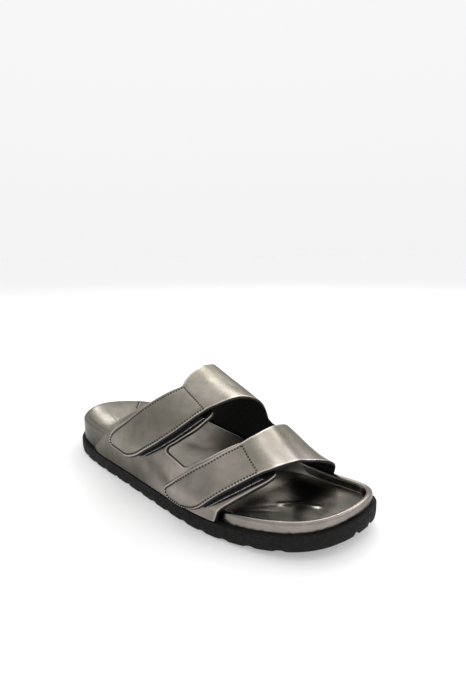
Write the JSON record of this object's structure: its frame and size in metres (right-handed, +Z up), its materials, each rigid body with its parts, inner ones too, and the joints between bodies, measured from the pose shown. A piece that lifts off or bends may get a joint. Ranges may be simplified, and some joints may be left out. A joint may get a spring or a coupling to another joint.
{
  "type": "slide sandal",
  "caption": "Two-strap slide sandal for the right foot: metallic leather straps with hook-and-loop tabs over a contoured, leather-covered footbed on a black lugged sole.",
  "frame": {"origin": "middle of the whole shoe's box, on the ground", "axes": "+X towards the toe, +Y towards the inner side of the foot, +Z up"},
  "size_m": [0.2636, 0.0968, 0.0803],
  "materials": {
    "outsole": "matt, finely pitted",
    "footbed": "satin metallic wrap",
    "insole": "satin metallic, smooth",
    "upper": "satin metallic, fine grain",
    "hook_and_loop": "matt, fuzzy"
  },
  "bodies": {
    "root": {"outsole": "outsole", "footbed": "footbed", "insole": "insole", "upper_inner": "upper", "upper_outer": "upper", "loop_patch_rear": "hook_and_loop", "loop_patch_front": "hook_and_loop", "hook_patch_rear": "hook_and_loop", "hook_patch_front": "hook_and_loop"}
  },
  "joints": []
}
